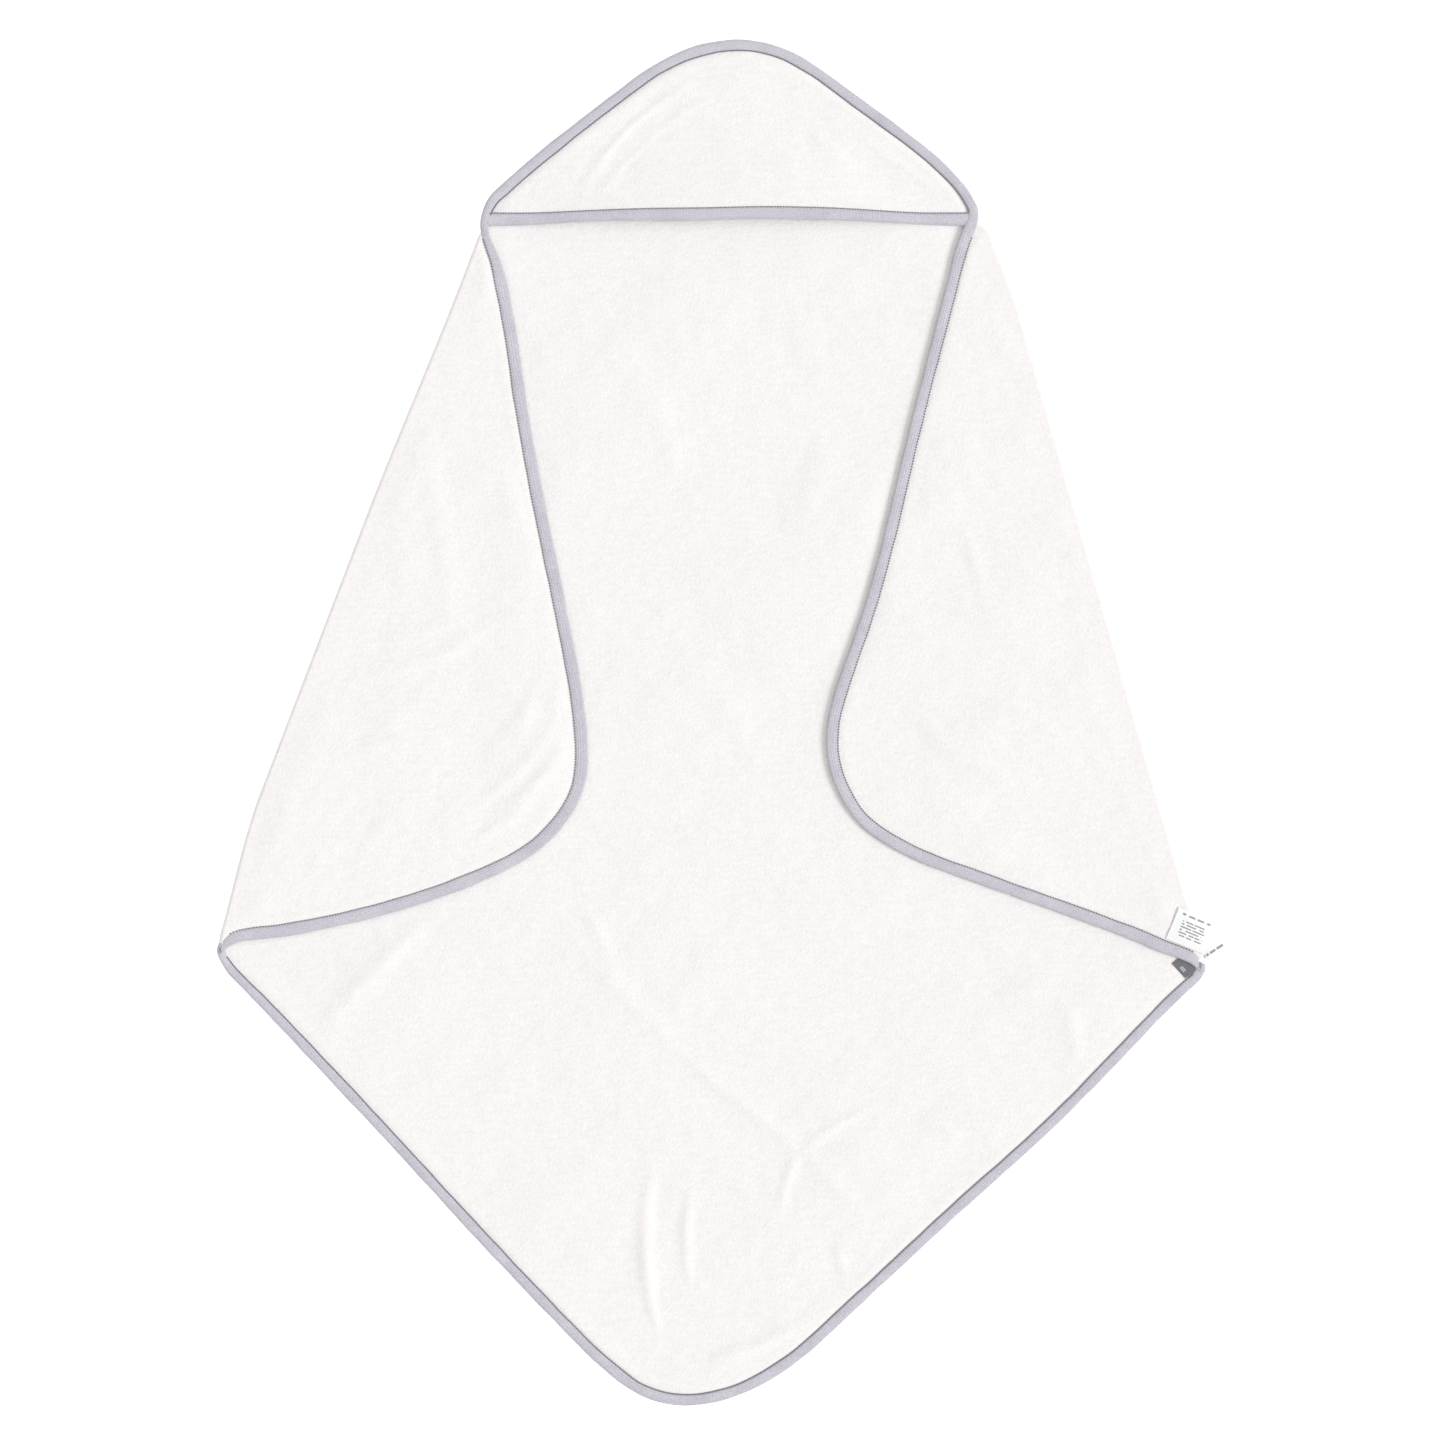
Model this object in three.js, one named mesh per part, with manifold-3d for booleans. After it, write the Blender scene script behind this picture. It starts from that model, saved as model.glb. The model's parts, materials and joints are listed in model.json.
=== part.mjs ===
// Hooded baby towel, lying flat on its back with both side corners folded in over the front.
// Millimetres, +Z up, hood towards +Y. The towel is one terry square with a hood sewn over its
// top corner; every edge is wrapped in bias binding. It folds on four lines: two sides, hood, foot.
import * as THREE from 'three';
import { mergeVertices } from 'three/addons/utils/BufferGeometryUtils.js';
import { TessellateModifier } from 'three/addons/modifiers/TessellateModifier.js';
import Module from 'manifold-3d';

const wasm = await Module();
wasm.setup();

// ---- Driving dimensions ----
const GAP = 0.3; // clearance between pieces that touch
const CLOTH = 2.2; // terry thickness
const TONGUE = 1.0; // terry thickness where the binding squeezes it
const BINDING_WIDTH = 9.8;
const BINDING_THICK = 2.8; // binding over one layer of terry
const HOOD_BINDING_THICK = 4.4; // binding over the two layers at the hood's edge
const BINDING_WALL = 0.6;
const BINDING_NOSE = 0.6; // how much the wrapped outer edge is rounded
const THREAD = 0.6;
const THREAD_SIDES = 4;
const LABEL = 0.4;
const WOVEN_TAB = 0.3;
const HOOD_LOFT = 8; // how far the hood's free edge stands off the towel at its middle
const HOOD_BOW = 3.8; // how far that edge bows towards the apex
const LABEL_LENGTH = 25;
const LABEL_WIDTH = 31;
const TAB_LENGTH = 15;
const TAB_WIDTH = 16;

const EDGE_STEP = 12; // length of one facet along an edge, the same for all that follows it
const LOFT_FACET = 40; // longest facet of the raised hood
const FAR = 600; // beyond the towel in every direction

// ---- Heights of the layers ----
const UPPER = BINDING_THICK + GAP; // the folded corners lie on the towel from here up
const FOLDED_TOP = UPPER + BINDING_THICK;
const HOOD_LAYER = CLOTH + GAP;

// ---- Plan: where the towel's edges and fold lines run ----
// Every edge is the middle line of its binding and is listed with the terry on its left.
// The edges that meet on the hood or foot fold run past it and are cut square there.
const OFFSET = [2.98, 0.21]; // puts the middle of the whole towel on the origin
const HOOD_LINE_Y = 365;
const FOOT_LINE_Y = -205;
const FLAP_TOP_Y = 358; // the folded corners start below the hood's hinge line
const LEFT_FOLD = [[-182.5, 364], [-194, 334], [-352.5, -80], [-375, -160]];
const RIGHT_FOLD = [[199, 364], [228.6, 274.9], [329.8, -79.3], [353, -160]];

const HOOD_EDGE = [
  [179, 357], [182, 379], [176, 393], [154.2, 415.1], [95.6, 459.4], [64.9, 481.5],
  [42, 493.5], [14.4, 499], [-18, 494.5], [-47.2, 481.5], [-78.2, 459.4], [-134.7, 415.1],
  [-160.1, 393], [-171, 381], [-175, 357],
];
const HOOD_FRONT_EDGE = [[-167.5, 371], [-84, 371], [0, 371], [84, 371], [174.5, 371]];
const LEFT_FLAP_EDGE = [
  [-367, -164.5], [-350.9, -160.5], [-255.3, -138.4], [-187.8, -116.2], [-143.5, -94.1],
  [-120.3, -72], [-107.7, -49.8], [-104.1, -27.7], [-107.4, 16.6], [-119.6, 83],
  [-137.6, 171.6], [-149.4, 238], [-155.7, 282.3], [-171.6, 348.7], [-173.4, FLAP_TOP_Y],
];
const RIGHT_FLAP_EDGE = [
  [178, FLAP_TOP_Y], [173.1, 348.7], [164.9, 304.4], [142.1, 215.9], [121, 127.3],
  [108.5, 83], [86, 16.6], [81.5, -5.5], [82.3, -27.7], [89.7, -49.8], [104.8, -72],
  [138.4, -94.1], [195.6, -116.2], [257.6, -138.4], [308.5, -160.5], [345, -176],
];
const LEFT_CORNER_EDGE = [[-367, -176.5], [-354, -189.8], [-334, -210.7]];
const FOOT_EDGE = [
  [-345, -199.4], [-256.1, -293.4], [-174.5, -381.9], [-111.1, -448.3], [-88.2, -470.5],
  [-57.9, -492.6], [-28, -499.45], [9.2, -492.6], [49.1, -470.5], [98.9, -426.2],
  [170.5, -359.8], [243.9, -293.4], [335.4, -199.5],
];
const RIGHT_CORNER_EDGE = [[324, -211.6], [339, -195.2], [348, -185.4]];

// Triangle over which the hood panel rises: its two shoulders and its apex.
const LOFT_LEFT = [-155, 371];
const LOFT_RIGHT = [162, 371];
const LOFT_APEX = [14, 503];

// The care label is sewn in at the right corner; its base line follows the binding.
const LABEL_BASE = [326.6, -159];
const LABEL_ALONG = [0.923, -0.384];
const LABEL_OUT = [0.384, 0.923];
const LOWER_LEAF = [[341, -164.2], [359.5, -171.9], [371.6, -164.8], [362, -151]];
const TAB_CORNER = [339.5, -185.6];
const TAB_ALONG = [0.655, 0.755];
const TAB_OUT = [-0.72, 0.69];

// ---- Materials ----
const terry = () => new THREE.MeshStandardMaterial({ color: 0xf8f5f3, roughness: 0.95, metalness: 0 });
const bias = () => new THREE.MeshStandardMaterial({ color: 0xcbc8d4, roughness: 0.85, metalness: 0 });
const thread = () => new THREE.MeshStandardMaterial({ color: 0xb9b6c4, roughness: 0.7, metalness: 0 });
const satin = () => new THREE.MeshStandardMaterial({ color: 0xfbfbfb, roughness: 0.6, metalness: 0 });
const woven = () => new THREE.MeshStandardMaterial({ color: 0x8d8d93, roughness: 0.75, metalness: 0 });

// ---- Plan helpers ----
const smooth = (points) => new THREE.CatmullRomCurve3(
  points.map(([x, y]) => new THREE.Vector3(x, y, 0)), false, 'centripetal');

const divisions = (curve) => Math.max(2, Math.ceil(curve.getLength() / EDGE_STEP));

// The edge's line moved into the terry by distance, or out of it where that is negative.
function inset(edge, distance) {
  const curve = smooth(edge);
  const count = divisions(curve);
  return Array.from({ length: count + 1 }, (_, i) => {
    const point = curve.getPointAt(i / count);
    const along = curve.getTangentAt(i / count);
    return [point.x - along.y * distance, point.y + along.x * distance];
  });
}

// The part of a polygon that lies left of the line from a to b, kept `margin` away from it.
function clip(polygon, a, b, margin = 0) {
  const length = Math.hypot(b[0] - a[0], b[1] - a[1]);
  const side = ([x, y]) =>
    ((b[0] - a[0]) * (y - a[1]) - (b[1] - a[1]) * (x - a[0])) / length - margin;
  const kept = [];
  polygon.forEach((point, i) => {
    const next = polygon[(i + 1) % polygon.length];
    const here = side(point);
    const there = side(next);
    if (here >= 0) kept.push(point);
    if (here * there < 0) {
      const share = here / (here - there);
      kept.push([0, 1].map((k) => point[k] + share * (next[k] - point[k])));
    }
  });
  return kept;
}

// Clips against each stretch of a fold line, given from its top to its bottom.
function clipFold(polygon, fold, terryOnLeft, margin) {
  return fold.slice(1).reduce((kept, end, i) => (terryOnLeft
    ? clip(kept, fold[i], end, margin)
    : clip(kept, end, fold[i], margin)), polygon);
}

const above = (polygon, y) => clip(polygon, [0, y], [1, y]);
const below = (polygon, y) => clip(polygon, [1, y], [0, y]);

// ---- Solid helpers ----
function slab(polygon, low, high) {
  const shape = new THREE.Shape(polygon.map(([x, y]) => new THREE.Vector2(x, y)));
  const geometry = new THREE.ExtrudeGeometry(shape, { depth: high - low, bevelEnabled: false });
  return geometry.translate(0, 0, low);
}

function toManifold(geometry) {
  const bare = geometry.clone();
  bare.deleteAttribute('normal');
  bare.deleteAttribute('uv');
  const merged = mergeVertices(bare, 1e-4);
  return new wasm.Manifold(new wasm.Mesh({
    numProp: 3,
    vertProperties: new Float32Array(merged.attributes.position.array),
    triVerts: new Uint32Array(merged.index.array),
  }));
}

function fromManifold(solid) {
  const mesh = solid.getMesh();
  const geometry = new THREE.BufferGeometry();
  geometry.setAttribute('position', new THREE.BufferAttribute(mesh.vertProperties, 3));
  geometry.setIndex(new THREE.BufferAttribute(mesh.triVerts, 1));
  geometry.computeVertexNormals();
  return geometry;
}

const join = (geometries) =>
  fromManifold(geometries.map(toManifold).reduce((sum, next) => sum.add(next)));

// Keeps the part of a solid between two values of y.
function between(geometry, lowY, highY) {
  const block = slab([[-FAR, lowY], [FAR, lowY], [FAR, highY], [-FAR, highY]], -FAR, FAR);
  return fromManifold(toManifold(geometry).intersect(toManifold(block)));
}

// Sweeps a section along a level edge. The section's first axis points down, its second into the terry.
function sweep(edge, section, z) {
  const curve = smooth(edge);
  const path = new THREE.CatmullRomCurve3(
    curve.getSpacedPoints(divisions(curve)).map((p) => p.setZ(z)), false, 'centripetal');
  const shape = new THREE.Shape(section.map(([down, into]) => new THREE.Vector2(down, into)));
  return new THREE.ExtrudeGeometry(shape, {
    steps: divisions(curve), extrudePath: path, bevelEnabled: false,
  });
}

// Bias binding: a folded strip whose two legs hold the terry between them.
function binding(edge, low, thick = BINDING_THICK) {
  const half = thick / 2;
  const slot = half - BINDING_WALL;
  const reach = BINDING_WIDTH / 2;
  const section = [
    [-half, -reach + BINDING_NOSE], [-half + BINDING_NOSE, -reach],
    [half - BINDING_NOSE, -reach], [half, -reach + BINDING_NOSE],
    [half, reach], [slot, reach], [slot, -reach + BINDING_WALL],
    [-slot, -reach + BINDING_WALL], [-slot, reach], [-half, reach],
  ];
  return sweep(edge, section, low + half);
}

// Topstitching: the thread that lies along the binding's inner edge, flush with its upper face.
function topstitch(edge, top) {
  const inner = BINDING_WIDTH / 2 + GAP + THREAD / 2;
  const section = Array.from({ length: THREAD_SIDES }, (_, i) => {
    const turn = (i / THREAD_SIDES) * 2 * Math.PI;
    return [(THREAD / 2) * Math.cos(turn), inner + (THREAD / 2) * Math.sin(turn)];
  });
  return sweep(edge, section, top - THREAD / 2);
}

// How far the terry goes into its binding, and where its full thickness starts.
const TONGUE_REACH = -(BINDING_WIDTH / 2 - BINDING_WALL - GAP);
const SLAB_REACH = BINDING_WIDTH / 2 + 2 * GAP + THREAD;
const TONGUE_LOW = BINDING_WALL + GAP;
const FOLD_MARGIN = 0.6; // terry stops this far inside a side fold's hinge line

// ---- Terry panels ----
function bodyPanel() {
  const outline = (reach) => {
    const [leftTop, , leftEnd] = LEFT_CORNER_EDGE;
    const [rightEnd, , rightTop] = RIGHT_CORNER_EDGE;
    let area = [[-420, -230], [420, -230], [420, 400], [-420, 400]];
    area = clipFold(area, LEFT_FOLD, true, FOLD_MARGIN);
    area = clipFold(area, RIGHT_FOLD, false, FOLD_MARGIN);
    area = clip(area, leftTop, leftEnd, reach);
    area = clip(area, rightEnd, rightTop, reach);
    return below(above(area, FOOT_LINE_Y + GAP), HOOD_LINE_Y - GAP);
  };
  return join([
    slab(outline(SLAB_REACH), 0, CLOTH),
    slab(outline(TONGUE_REACH), TONGUE_LOW, TONGUE_LOW + TONGUE),
  ]);
}

function footPanel() {
  const outline = (reach) => below(inset(FOOT_EDGE, reach), FOOT_LINE_Y - GAP);
  return join([
    slab(outline(SLAB_REACH), 0, CLOTH),
    slab(outline(TONGUE_REACH), TONGUE_LOW, TONGUE_LOW + TONGUE),
  ]);
}

function hoodBackPanel() {
  const outline = (reach) => above(inset(HOOD_EDGE, reach), HOOD_LINE_Y + GAP);
  return join([
    slab(outline(SLAB_REACH), 0, CLOTH),
    slab(outline(TONGUE_REACH), TONGUE_LOW, TONGUE_LOW + TONGUE),
  ]);
}

// A folded corner lies face down, so its heights are the towel's, counted from its top.
function flapPanel(edge, fold, outside, terryOnLeft) {
  const outline = (reach) =>
    clipFold([...inset(edge, reach), ...outside], fold, terryOnLeft, FOLD_MARGIN);
  return join([
    slab(outline(SLAB_REACH), FOLDED_TOP - CLOTH, FOLDED_TOP),
    slab(outline(TONGUE_REACH), FOLDED_TOP - TONGUE_LOW - TONGUE, FOLDED_TOP - TONGUE_LOW),
  ]);
}

function hoodPanel() {
  const frontY = HOOD_FRONT_EDGE[0][1];
  const outline = (edgeReach, frontReach) =>
    above(inset(HOOD_EDGE, edgeReach), frontY + frontReach);
  const edgeTongue = slab(outline(TONGUE_REACH, SLAB_REACH), HOOD_LAYER, HOOD_LAYER + TONGUE);
  const frontTongue = slab(
    outline(SLAB_REACH, TONGUE_REACH), HOOD_LAYER + TONGUE_LOW, HOOD_LAYER + TONGUE_LOW + TONGUE);
  return join([slab(outline(SLAB_REACH, SLAB_REACH), HOOD_LAYER, HOOD_LAYER + CLOTH), edgeTongue, frontTongue]);
}

// ---- The raised hood ----
// Height share of the hood at a point: 0 along its sewn edges, 1 in the middle of its free edge.
function loftShare(x, y) {
  const up = (y - LOFT_LEFT[1]) / (LOFT_APEX[1] - LOFT_LEFT[1]);
  const left = LOFT_LEFT[0] + up * (LOFT_APEX[0] - LOFT_LEFT[0]);
  const right = LOFT_RIGHT[0] + up * (LOFT_APEX[0] - LOFT_RIGHT[0]);
  const span = LOFT_RIGHT[0] - LOFT_LEFT[0];
  const share = 4 * Math.max(0, (x - left) / span) * Math.max(0, (right - x) / span);
  return THREE.MathUtils.smoothstep(share, 0, 1);
}

function raise(geometry) {
  const fine = new TessellateModifier(LOFT_FACET, 40).modify(geometry.index ? geometry.toNonIndexed() : geometry);
  const position = fine.attributes.position;
  for (let i = 0; i < position.count; i += 1) {
    const share = loftShare(position.getX(i), position.getY(i));
    position.setY(i, position.getY(i) + HOOD_BOW * share);
    position.setZ(i, position.getZ(i) + HOOD_LOFT * share);
  }
  return fine;
}

// ---- Labels ----
const shifted = ([x, y], [alongX, alongY], distance) => [x + alongX * distance, y + alongY * distance];

function rectangle(corner, along, width, out, length) {
  const end = shifted(corner, along, width);
  return [corner, end, shifted(end, out, length), shifted(corner, out, length)];
}

const careLabel = () => slab(
  rectangle(LABEL_BASE, LABEL_ALONG, LABEL_WIDTH, LABEL_OUT, LABEL_LENGTH),
  FOLDED_TOP + LABEL + 2 * GAP, FOLDED_TOP + 2 * LABEL + 2 * GAP);

const lowerLeaf = () => slab(LOWER_LEAF, FOLDED_TOP + GAP, FOLDED_TOP + GAP + LABEL);

const wovenTab = () => slab(
  rectangle(TAB_CORNER, TAB_ALONG, TAB_WIDTH, TAB_OUT, TAB_LENGTH),
  CLOTH + GAP, CLOTH + GAP + WOVEN_TAB);

// ---- Assembly ----
const towel = new THREE.Group();
towel.position.set(OFFSET[0], OFFSET[1], 0);

function add(name, geometry, material) {
  const mesh = new THREE.Mesh(geometry, material());
  mesh.name = name;
  towel.add(mesh);
}

const leftOutside = [[-260, FLAP_TOP_Y], [-420, 0], [-420, -158]];
const rightOutside = [[420, -170], [420, 0], [260, FLAP_TOP_Y]];

add('body_panel', bodyPanel(), terry);
add('foot_panel', footPanel(), terry);
add('left_flap_panel', flapPanel(LEFT_FLAP_EDGE, LEFT_FOLD, leftOutside, true), terry);
add('right_flap_panel', flapPanel(RIGHT_FLAP_EDGE, RIGHT_FOLD, rightOutside, false), terry);
add('hood_back_panel', hoodBackPanel(), terry);
add('hood_panel', raise(hoodPanel()), terry);

const hoodPart = (geometry) => between(geometry, HOOD_LINE_Y + GAP, FAR);
add('hood_edge_binding', hoodPart(binding(HOOD_EDGE, 0, HOOD_BINDING_THICK)), bias);
add('hood_front_binding', raise(binding(HOOD_FRONT_EDGE, HOOD_LAYER)), bias);
add('hood_edge_topstitch', hoodPart(topstitch(HOOD_EDGE, HOOD_BINDING_THICK)), thread);
add('hood_front_topstitch', raise(topstitch(HOOD_FRONT_EDGE, HOOD_LAYER + BINDING_THICK)), thread);

const whole = (geometry) => geometry;
const bodyPart = (geometry) => between(geometry, FOOT_LINE_Y + GAP, HOOD_LINE_Y);
const footPart = (geometry) => between(geometry, -FAR, FOOT_LINE_Y - GAP);
const boundEdges = [
  ['left_flap', LEFT_FLAP_EDGE, UPPER, whole],
  ['right_flap', RIGHT_FLAP_EDGE, UPPER, whole],
  ['left_corner', LEFT_CORNER_EDGE, 0, bodyPart],
  ['right_corner', RIGHT_CORNER_EDGE, 0, bodyPart],
  ['foot', FOOT_EDGE, 0, footPart],
];
for (const [name, edge, low, part] of boundEdges) {
  add(`${name}_binding`, part(binding(edge, low)), bias);
  add(`${name}_topstitch`, part(topstitch(edge, low + BINDING_THICK)), thread);
}

add('care_label_upper_leaf', careLabel(), satin);
add('care_label_lower_leaf', lowerLeaf(), satin);
add('woven_tab', wovenTab(), woven);

export default towel;
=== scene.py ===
# Hooded baby towel, lying on its back with both side corners folded in over the front.
# The whole towel is laid out flat, in millimetres, edges and all, and one function then folds
# its two sides over. What the frame's joints fold later starts from that folded towel.
import json
import math

import bmesh
import bpy
import numpy as np
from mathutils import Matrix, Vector
from mathutils.kdtree import KDTree


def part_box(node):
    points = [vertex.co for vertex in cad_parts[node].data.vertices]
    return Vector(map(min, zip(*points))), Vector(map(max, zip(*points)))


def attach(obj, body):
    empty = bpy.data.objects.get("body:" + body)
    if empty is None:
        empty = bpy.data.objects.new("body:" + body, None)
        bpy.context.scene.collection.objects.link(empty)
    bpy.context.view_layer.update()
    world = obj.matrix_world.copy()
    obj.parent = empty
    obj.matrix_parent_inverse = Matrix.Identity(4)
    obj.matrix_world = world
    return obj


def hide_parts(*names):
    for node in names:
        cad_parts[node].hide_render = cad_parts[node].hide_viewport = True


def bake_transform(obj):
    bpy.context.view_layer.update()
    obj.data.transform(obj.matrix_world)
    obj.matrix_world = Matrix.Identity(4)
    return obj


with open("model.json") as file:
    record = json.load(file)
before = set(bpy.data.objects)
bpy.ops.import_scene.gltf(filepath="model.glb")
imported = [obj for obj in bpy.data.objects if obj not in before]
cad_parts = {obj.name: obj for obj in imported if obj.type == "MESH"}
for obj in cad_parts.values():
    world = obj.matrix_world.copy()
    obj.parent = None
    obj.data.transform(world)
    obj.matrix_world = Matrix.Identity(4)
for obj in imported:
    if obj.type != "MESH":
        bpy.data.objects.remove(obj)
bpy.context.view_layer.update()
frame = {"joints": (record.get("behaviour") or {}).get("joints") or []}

MM = 0.001
SEED = 7


# ---- What the frame says ----
def box_mm(node):
    low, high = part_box(node)
    return np.array(low) / MM, np.array(high) / MM


def joint(name):
    return next(j for j in frame["joints"] if j["name"] == name)


def joint_point(name):
    return np.array(joint(name)["pos_m"]) / MM


BINDING_THICK = box_mm("foot_binding")[1][2]
HOOD_EDGE_THICK = box_mm("hood_edge_binding")[1][2]
UPPER_LOW, UPPER_TOP = (corner[2] for corner in box_mm("left_flap_binding"))
HOOD_PANEL_LOW = box_mm("hood_panel")[0][2]
HOOD_ROOM = box_mm("hood_front_binding")[1][2] - HOOD_PANEL_LOW - BINDING_THICK
HOOD_LINE_Y = joint_point("hood_lift")[1]
LEAF_TOP = box_mm("care_label_upper_leaf")[1][2]
TAB_TOP = box_mm("woven_tab")[1][2]

# ---- Sizes of the cloth ----
BINDING_WIDTH = 9.8
HOOD_LOFT = 0.6 * HOOD_ROOM  # how far the hood's free edge stands off the towel
TERRY_HALF = 1.1  # half the terry's thickness
TERRY_MID = BINDING_THICK / 2
ON_FLOOR = 0.05  # lowest point of the cloth
FLAP_RISE = 3  # most that a folded corner's relief may rise
BEND_RADIUS = UPPER_LOW / 2  # of the middle of the cloth in a side fold
BEND_HALF = math.pi * BEND_RADIUS / 2
STITCH_PITCH = 2.1
STATION = STITCH_PITCH / 2  # distance between the edge's numbered stations
STITCH_LENGTH = 1.35  # of a stitch that shows as a dot
LONG_STITCH = 1.95  # of one that shows as a line
STITCH_RADIUS = 0.5

# ---- Plan of the towel, as it lies folded: the middle lines of its bindings, in millimetres ----
# The plan is drawn from the same point as the frame's, which SHIFT brings to the frame's origin.
LEFT_FOLD_MARK = (-194, 334)
SHIFT = joint_point("left_flap_fold")[:2] - LEFT_FOLD_MARK
# Each edge goes on from where the one before it ends, once round the folded towel.
HOOD_EDGE = [
    (184.6, 377), (181, 385), (175, 394), (154.2, 415.1), (95.6, 459.4), (64.9, 481.5), (42, 493.5),
    (14.4, 499), (-18, 494.5), (-47.2, 481.5), (-78.2, 459.4), (-134.7, 415.1), (-160, 393),
    (-169.5, 383.4),
]
LEFT_SHOULDER = (-175.6, 368)
LEFT_FLAP_EDGE = [
    (-174.8, 359), (-172.1, 351.3), (-167.7, 340), (-163.4, 323), (-155.7, 282.3), (-149.4, 238),
    (-137.6, 171.6), (-119.6, 83), (-107.4, 16.6), (-104.1, -27.7), (-107.7, -49.8),
    (-120.3, -72), (-143.5, -94.1), (-187.8, -116.2), (-255.3, -138.4), (-324, -153),
    (-345, -155.3), (-360.5, -158.6),
]
LEFT_CORNER = (-369.6, -167.2)
LOWER_EDGE = [
    (-364.2, -179.3), (-351, -193.7), (-339.2, -205.5), (-256.1, -293.4), (-174.5, -381.9),
    (-111.1, -448.3), (-88.2, -470.5), (-57.9, -492.6), (-28, -499.4), (9.2, -492.6),
    (49.1, -470.5), (98.9, -426.2), (170.5, -359.8), (243.9, -293.4), (329.6, -205.5),
    (341.5, -194.4), (350, -186.5),
]
RIGHT_CORNER = (352.4, -180.4)
RIGHT_FLAP_EDGE = [
    (348, -174.4), (336.2, -168.7), (325.2, -164.8), (308.5, -157.5), (257.6, -138.4),
    (195.6, -116.2), (138.4, -94.1), (104.8, -72), (89.7, -49.8), (82.3, -27.7), (81.5, -5.5),
    (86, 16.6), (108.5, 83), (121, 127.3), (142.1, 215.9), (164.9, 304.4), (169.8, 323),
    (174, 340), (177.3, 351.3), (180.6, 360),
]
RIGHT_SHOULDER = (183.6, 368.5)
HOOD_FRONT = [
    (-173, 371), (-110, 370.6), (-62, 370.3), (-20, 370.3), (27, 371.5), (63, 371.3), (120, 371),
    (181, 371),
]
HOOD_BOW = 3.8  # how far the hood's free edge bows towards the apex
LOFT_LEFT, LOFT_RIGHT, LOFT_APEX = (-155, 371), (162, 371), (14, 503)


# ---- Curves ----
def smoothstep(low, high, x):
    share = np.clip((np.asarray(x, float) - low) / (high - low), 0, 1)
    return share * share * (3 - 2 * share)


def lengths_along(line):
    return np.concatenate([[0], np.cumsum(np.linalg.norm(np.diff(line, axis=0), axis=1))])


def resample(line, count):
    """The line's points again, count + 1 of them, the same distance apart."""
    along = lengths_along(line)
    wanted = np.linspace(0, along[-1], count + 1)
    return np.stack([np.interp(wanted, along, line[:, k]) for k in range(line.shape[1])], axis=1)


def smooth_curve(points, closed=False, per_span=24):
    """A centripetal Catmull-Rom curve through the points."""
    points = np.array(points, float)
    if closed:
        padded = np.concatenate([points[-1:], points, points[:2]])
    else:
        first = 2 * points[0] - points[1]
        last = 2 * points[-1] - points[-2]
        padded = np.concatenate([[first], points, [last]])
    spans = []
    for p0, p1, p2, p3 in zip(padded, padded[1:], padded[2:], padded[3:]):
        t1 = math.sqrt(np.linalg.norm(p1 - p0))
        t2 = t1 + math.sqrt(np.linalg.norm(p2 - p1))
        t3 = t2 + math.sqrt(np.linalg.norm(p3 - p2))
        t = np.linspace(t1, t2, per_span, endpoint=False)[:, None]
        a1 = (t1 - t) / t1 * p0 + t / t1 * p1
        a2 = (t2 - t) / (t2 - t1) * p1 + (t - t1) / (t2 - t1) * p2
        a3 = (t3 - t) / (t3 - t2) * p2 + (t - t2) / (t3 - t2) * p3
        b1 = (t2 - t) / t2 * a1 + t / t2 * a2
        b2 = (t3 - t) / (t3 - t1) * a2 + (t - t1) / (t3 - t1) * a3
        spans.append((t2 - t) / (t2 - t1) * b1 + (t - t1) / (t2 - t1) * b2)
    spans.append(points[:1] if closed else points[-1:])
    return np.concatenate(spans)


def inward(line):
    """Unit vectors across the line, to its left, where the terry is."""
    tangent = np.gradient(line, axis=0)
    tangent /= np.linalg.norm(tangent, axis=1)[:, None]
    return np.stack([-tangent[:, 1], tangent[:, 0]], axis=1)


# ---- The two side folds ----
PULL_REACH = 26  # how far from a fold the cloth is still drawn in
FOLD_FADE = 15  # how far the fold has moved out, past the edge, above the shoulder


class SideFold:
    """A straight fold line. A point's place against it is t, along it, and u, out from it."""

    def __init__(self, joint_name, shoulder, pulls):
        self.origin = joint_point(joint_name)[:2]
        axis = np.array(joint(joint_name)["axis"][:2])
        self.out = np.array([axis[1], -axis[0]])
        self.up = axis * np.sign(axis[1])
        self.top = (np.array(shoulder) + SHIFT - self.origin) @ self.up
        self.pulls = pulls

    def place(self, points):
        offset = points - self.origin
        return offset @ self.up, offset @ self.out

    def point(self, t, u):
        return self.origin + np.multiply.outer(t, self.up) + np.multiply.outer(u, self.out)

    def on_bend(self, t):
        """Points of the flat towel where the bend starts."""
        return self.point(t, np.full(np.shape(t), -BEND_HALF))

    def pull(self, t, u):
        """How far cloth at (t, u) is drawn in, because the fold isn't quite straight."""
        y = self.origin[1] + t * self.up[1]
        amount = sum(far * smoothstep(start, end, y) for start, end, far in self.pulls)
        open_top = 1 - smoothstep(self.top + 8, self.top + 20, t)
        return amount * open_top * np.exp(-(u / PULL_REACH) ** 2)

    def straighten(self, points):
        """Undoes the pull on points of the folded plan."""
        t, u = self.place(points)
        straight = u
        for _ in range(8):
            straight = u + self.pull(t, straight)
        return self.point(t, straight)

    def unfold(self, points):
        """Where points of the folded corner lie when it is opened flat."""
        t, u = self.place(self.straighten(points))
        return self.point(t, -u)


# Each pull grows from nothing at the first y to its full distance at the second.
LEFT_PULLS = [(-400, -300, 1), (150, 330, 3.5), (-50, -190, 12)]
RIGHT_PULLS = [(-400, -300, 1.3), (300, 380, 5.5), (364, 374, 7)]
LEFT = SideFold("left_flap_fold", LEFT_SHOULDER, LEFT_PULLS)
RIGHT = SideFold("right_flap_fold", RIGHT_SHOULDER, RIGHT_PULLS)
SIDES = (LEFT, RIGHT)


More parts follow.
